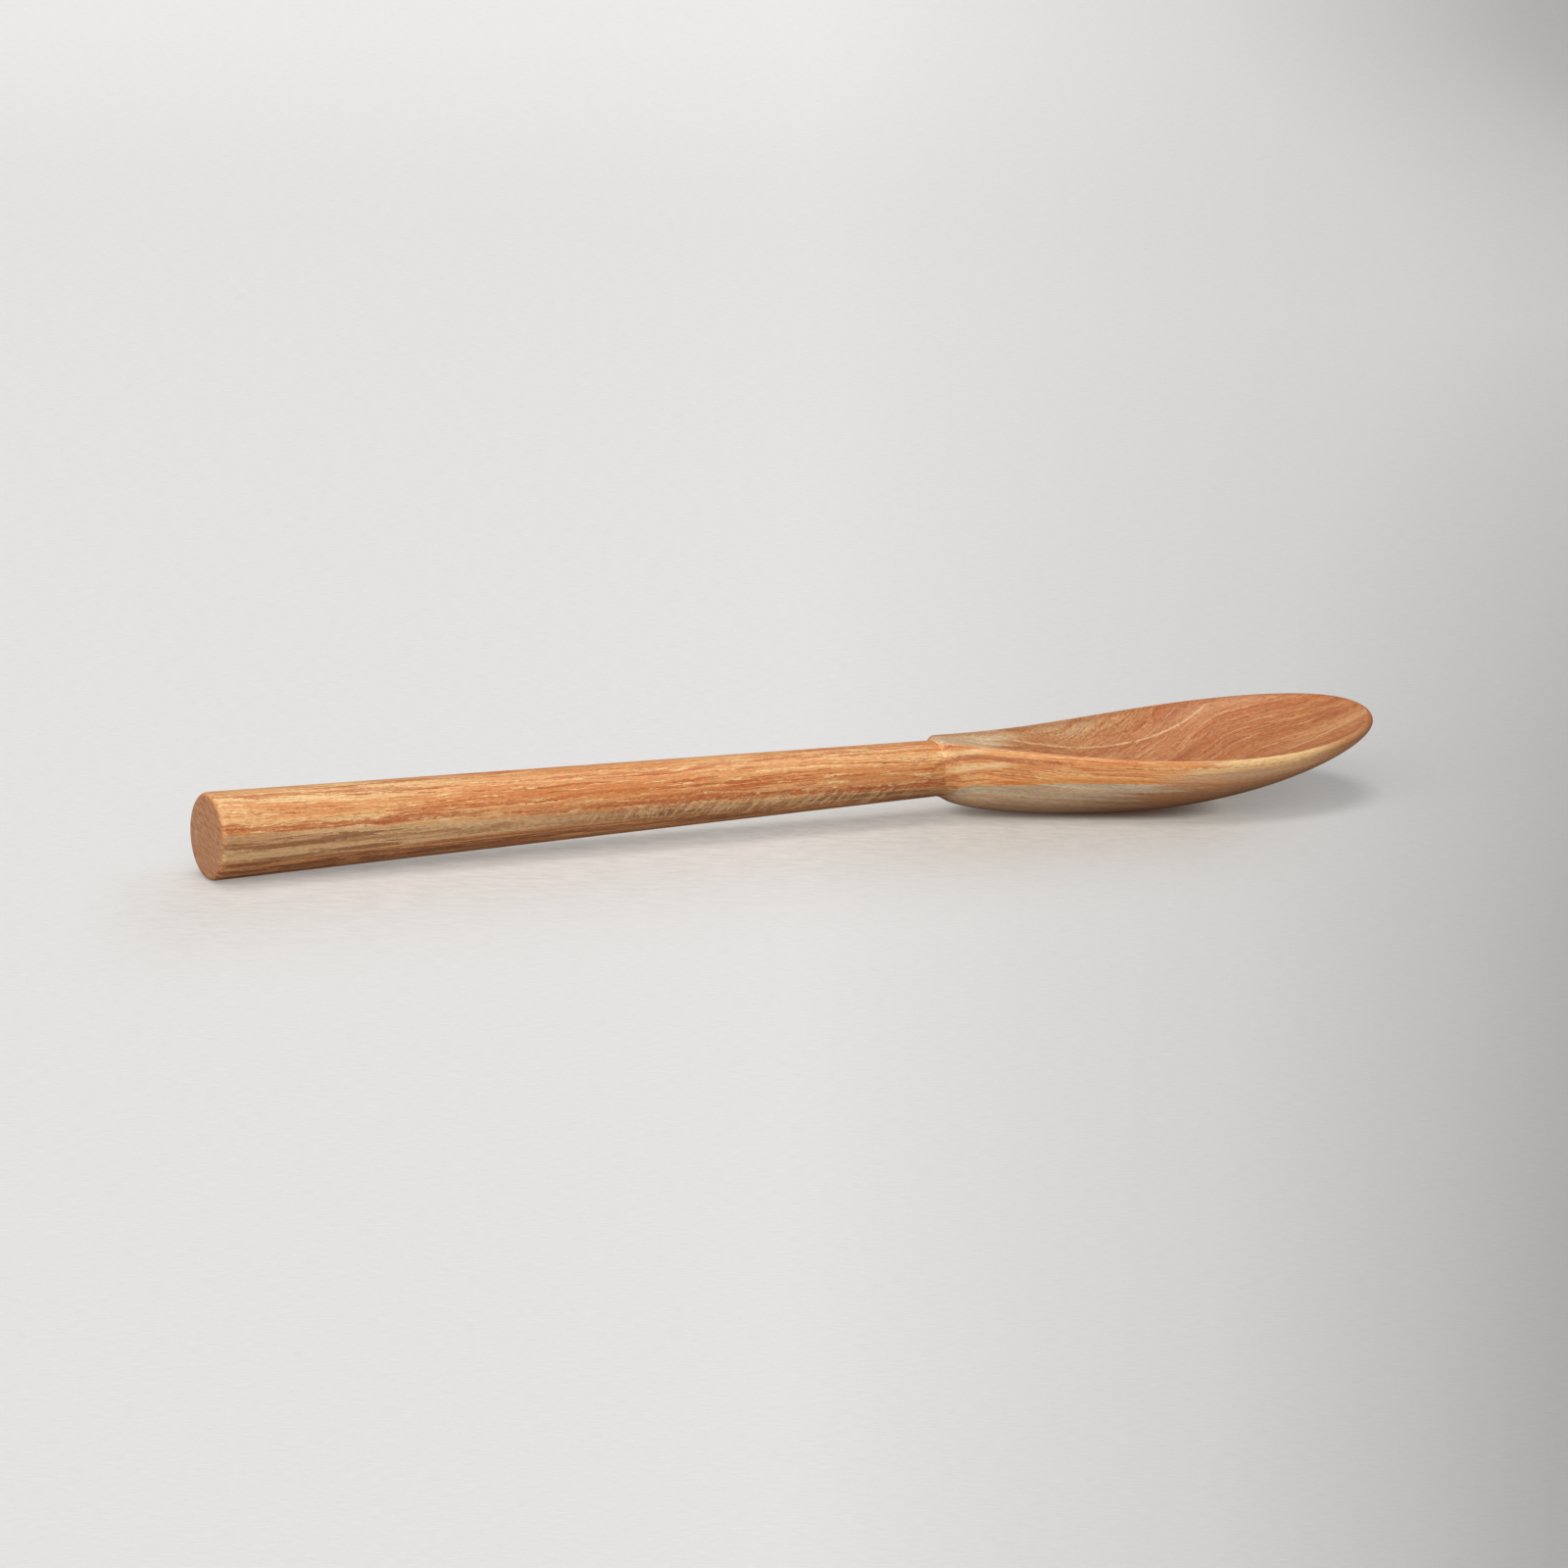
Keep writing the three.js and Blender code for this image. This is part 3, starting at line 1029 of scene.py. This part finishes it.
def makeBowl(shoulderX):
    rings = bowlRings()
    crestOrder = bowl["hullPoints"] + bowl["outerLipPoints"]

    # half of a circle becomes the tenon's first ring, keel end first
    deselectAll()
    bpy.ops.mesh.primitive_circle_add(vertices=2 * len(rings[0]) - 2, rotation=(-pi / 2, 0, -pi / 2))
    piece = bpy.context.object
    bpy.ops.object.transform_apply(rotation=True)
    piece.data.attributes.new("flow", "FLOAT_VECTOR", "POINT")
    piece.data.materials.append(bowlWood())
    piece.data.materials.append(hollowWood())
    bpy.ops.object.mode_set(mode="EDIT")
    bpy.ops.mesh.select_mode(type="VERT")
    pick(piece, "verts", lambda vert: vert.co.y < -weldReach)
    bpy.ops.mesh.delete(type="VERT")

    # ring by ring from the tenon's end to the tip
    bpy.ops.mesh.select_all(action="SELECT")
    shapeRing(piece, rings[0])
    for ring in rings[1:]:
        bpy.ops.mesh.extrude_region_move()
        shapeRing(piece, ring)
    bpy.ops.mesh.select_all(action="SELECT")
    bpy.ops.mesh.remove_doubles(threshold=weldReach)

    # the faces inside the rim's crest are the hollow's
    flow = bmesh.from_edit_mesh(piece.data).verts.layers.float_vector["flow"]
    pick(piece, "faces", lambda face: (
        min(vert[flow].z for vert in face.verts) > crestOrder - 0.5
        and face.calc_center_median().x > 0
    ))
    piece.active_material_index = 1
    bpy.ops.object.material_slot_assign()
    bpy.ops.object.mode_set(mode="OBJECT")

    # the other half, then a finer skin
    mirror = piece.modifiers.new("otherHalf", "MIRROR")
    mirror.use_axis = (False, True, False)
    mirror.merge_threshold = weldReach
    bpy.ops.object.modifier_apply(modifier=mirror.name)
    bpy.ops.object.mode_set(mode="EDIT")
    bpy.ops.mesh.select_all(action="SELECT")
    bpy.ops.mesh.normals_make_consistent(inside=False)
    bpy.ops.object.mode_set(mode="OBJECT")
    finer = piece.modifiers.new("finerSkin", "SUBSURF")
    finer.levels = bowl["smoothing"]
    finer.render_levels = bowl["smoothing"]
    bpy.ops.object.modifier_apply(modifier=finer.name)

    settle(piece, "carvedBowl", (shoulderX, 0, 0))
    bpy.ops.object.shade_smooth_by_angle(angle=radians(bowl["sharpFrom"]))
    return piece


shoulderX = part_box("bowl")[1].x / mm - bowl["length"]
turnedHandle = makeHandle(shoulderX)
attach(turnedHandle, "root")
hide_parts("handle")
print("handle made:", len(turnedHandle.data.polygons), "faces")

carvedBowl = makeBowl(shoulderX)
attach(carvedBowl, "root")
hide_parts("bowl")
print("bowl made:", len(carvedBowl.data.polygons), "faces")


# Floor and light
studio = {
    "floorSize": 14,
    "floorTurn": (0.897, 0.442),  # cosine and sine of the camera's yaw
    # places to the right in millimetres, each with the floor's tone there, a painted light falloff
    "paintedFalloffTones": [(0, 227), (100, 208), (150, 188), (180, 171), (212, 158)],
    # the painted falloff lies further to the right with distance, and less far again in the far band, which
    # is painted brighter
    "fallScale": 0.94,
    "fallShrink": 0.0006,
    "fallLeast": 0.55,
    "farBand": (750, 1200),
    "farScale": 0.2,
    "farGain": 1.09,
    "floorLit": 0.48,  # share of the floor's tone that the lamps light
    "floorGlow": 0.53,  # share that glows by itself, so that shadows stay soft
    "floorBounce": 0.65,  # share that the floor throws back on the spoon
    "floorRoughness": 0.6,
    # painted warm bounce light and soft shade on the floor in front of the spoon
    "bounceShadeTints": (shade(251, 245, 240), shade(239, 230, 219)),  # beside the handle, beside the bowl
    "bounceShadeReach": 120,
    "ripplePattern": (0.3, 0.9, 4, 0.7),
    "streakPattern": (0.15, 0.4, 3, 0.6),
    # the floor's glow turns into a painted contact shadow where the spoon is close
    "contact": 0.005,  # the glow fades under what is this close to the floor, in metres
    "contactShadowTone": shade(80, 56, 44),
    "contactReach": 0.6,
    "contactStart": (10, 75),
    "contactLeast": 0.25,
    "roomSeen": 0.82,
    "roomLight": 0.15,
    "lamps": {
        "topLight": {"power": 0.5, "size": 30, "tilt": -8, "facing": -26},
        "frontLight": {"power": 0.95, "size": 90, "tilt": 66, "facing": -44},
    },
}


def floorNoise(across, away, acrossScale, awayScale, detail, roughness):
    return noise(joined(across * acrossScale, away * awayScale, 0), detail, roughness)


def floorTone(x, y):
    # a pale grey that darkens to the right with painted light falloff, warmer and dimmer in front of the
    # spoon with painted bounce light and shade
    straight, skew = studio["floorTurn"]
    across = x * straight - y * skew
    away = x * skew + y * straight
    farBand = away.above(*studio["farBand"])
    scale = x.math("MAXIMUM", studio["fallScale"] - away * studio["fallShrink"], studio["fallLeast"])
    reach = studio["paintedFalloffTones"][-1][0]
    fall = (across * (scale + farBand * studio["farScale"]) * (1 / reach)).ramp([
        (place / reach, shade(level, level - 1, level - 3)) for place, level in studio["paintedFalloffTones"]
    ])
    gain = studio["farGain"]
    fall = blend(farBand, fall, (gain, gain, gain, 1), "MULTIPLY")
    ripple = floorNoise(across, away, *studio["ripplePattern"]).ramp([(0.35, grey(249)), (0.62, grey(255))])
    tone = blend(1, fall, ripple, "MULTIPLY")

    # the wood's warm light on the floor, painted as bounce light and soft shade in front of the spoon, with
    # faint streaks in it
    bounceShade = y.above(-studio["bounceShadeReach"], -10)
    bounceShade = bounceShade * bounceShade * y.below(0, 25) * across.above(-165, -130) * across.below(90, 130)
    tint = blend(across.above(-10, 60), *studio["bounceShadeTints"])
    tone = blend(bounceShade, tone, tint, "MULTIPLY")
    streaks = floorNoise(across, away, *studio["streakPattern"]).ramp([(0.38, grey(244)), (0.6, grey(255))])
    return blend(bounceShade, tone, streaks, "MULTIPLY")


def makeFloor():
    deselectAll()
    bpy.ops.mesh.primitive_plane_add(size=studio["floorSize"])
    floor = bpy.context.object
    floor.name = "paleFloor"
    material, surface, shader = newMaterial("paleFloor")
    x, y, z = parts(objectPoint(shader))
    tone = floorTone(x, y)
    seen = shader.node("ShaderNodeLightPath", output="Is Camera Ray")
    lit = seen * (studio["floorLit"] - studio["floorBounce"]) + studio["floorBounce"]
    near = shader.node("ShaderNodeAmbientOcclusion", {"samples": 8}, {"Distance": studio["contact"]}, "AO")

    # the painted contact shadow is deepest under the bowl
    depth = x.above(*studio["contactStart"]) * (1 - studio["contactLeast"]) + studio["contactLeast"]
    fade = near.below(0, studio["contactReach"]) * depth
    plug(surface, "Base Color", blend(lit, shade(0, 0, 0), tone))
    glow = blend(fade, tone, studio["contactShadowTone"])
    plug(surface, "Emission Color", blend(seen, shade(0, 0, 0), glow))
    surface.inputs["Emission Strength"].default_value = studio["floorGlow"]
    surface.inputs["Roughness"].default_value = studio["floorRoughness"]
    floor.data.materials.append(material)


def makeLight(name, look):
    # a wide soft sun: power 1 shows a level white surface as white
    bpy.ops.object.light_add(type="SUN")
    lamp = bpy.context.object
    lamp.name = name
    lamp.data.energy = look["power"] * pi
    lamp.data.angle = radians(look["size"])
    lamp.rotation_euler = (radians(look["tilt"]), 0, radians(look["facing"]))


def makeWorld():
    world = bpy.data.worlds.new("paleRoom")
    bpy.context.scene.world = world
    world.use_nodes = True
    background = world.node_tree.nodes["Background"]
    background.inputs["Color"].default_value = (1, 1, 1, 1)
    seen = Wire(background.outputs["Background"]).node("ShaderNodeLightPath", output="Is Camera Ray")
    strength = seen * (studio["roomSeen"] - studio["roomLight"]) + studio["roomLight"]
    world.node_tree.links.new(strength.socket, background.inputs["Strength"])


makeFloor()
for name, look in studio["lamps"].items():
    makeLight(name, look)
makeWorld()
bpy.context.scene.view_settings.view_transform = "Standard"
print("floor and lights made")
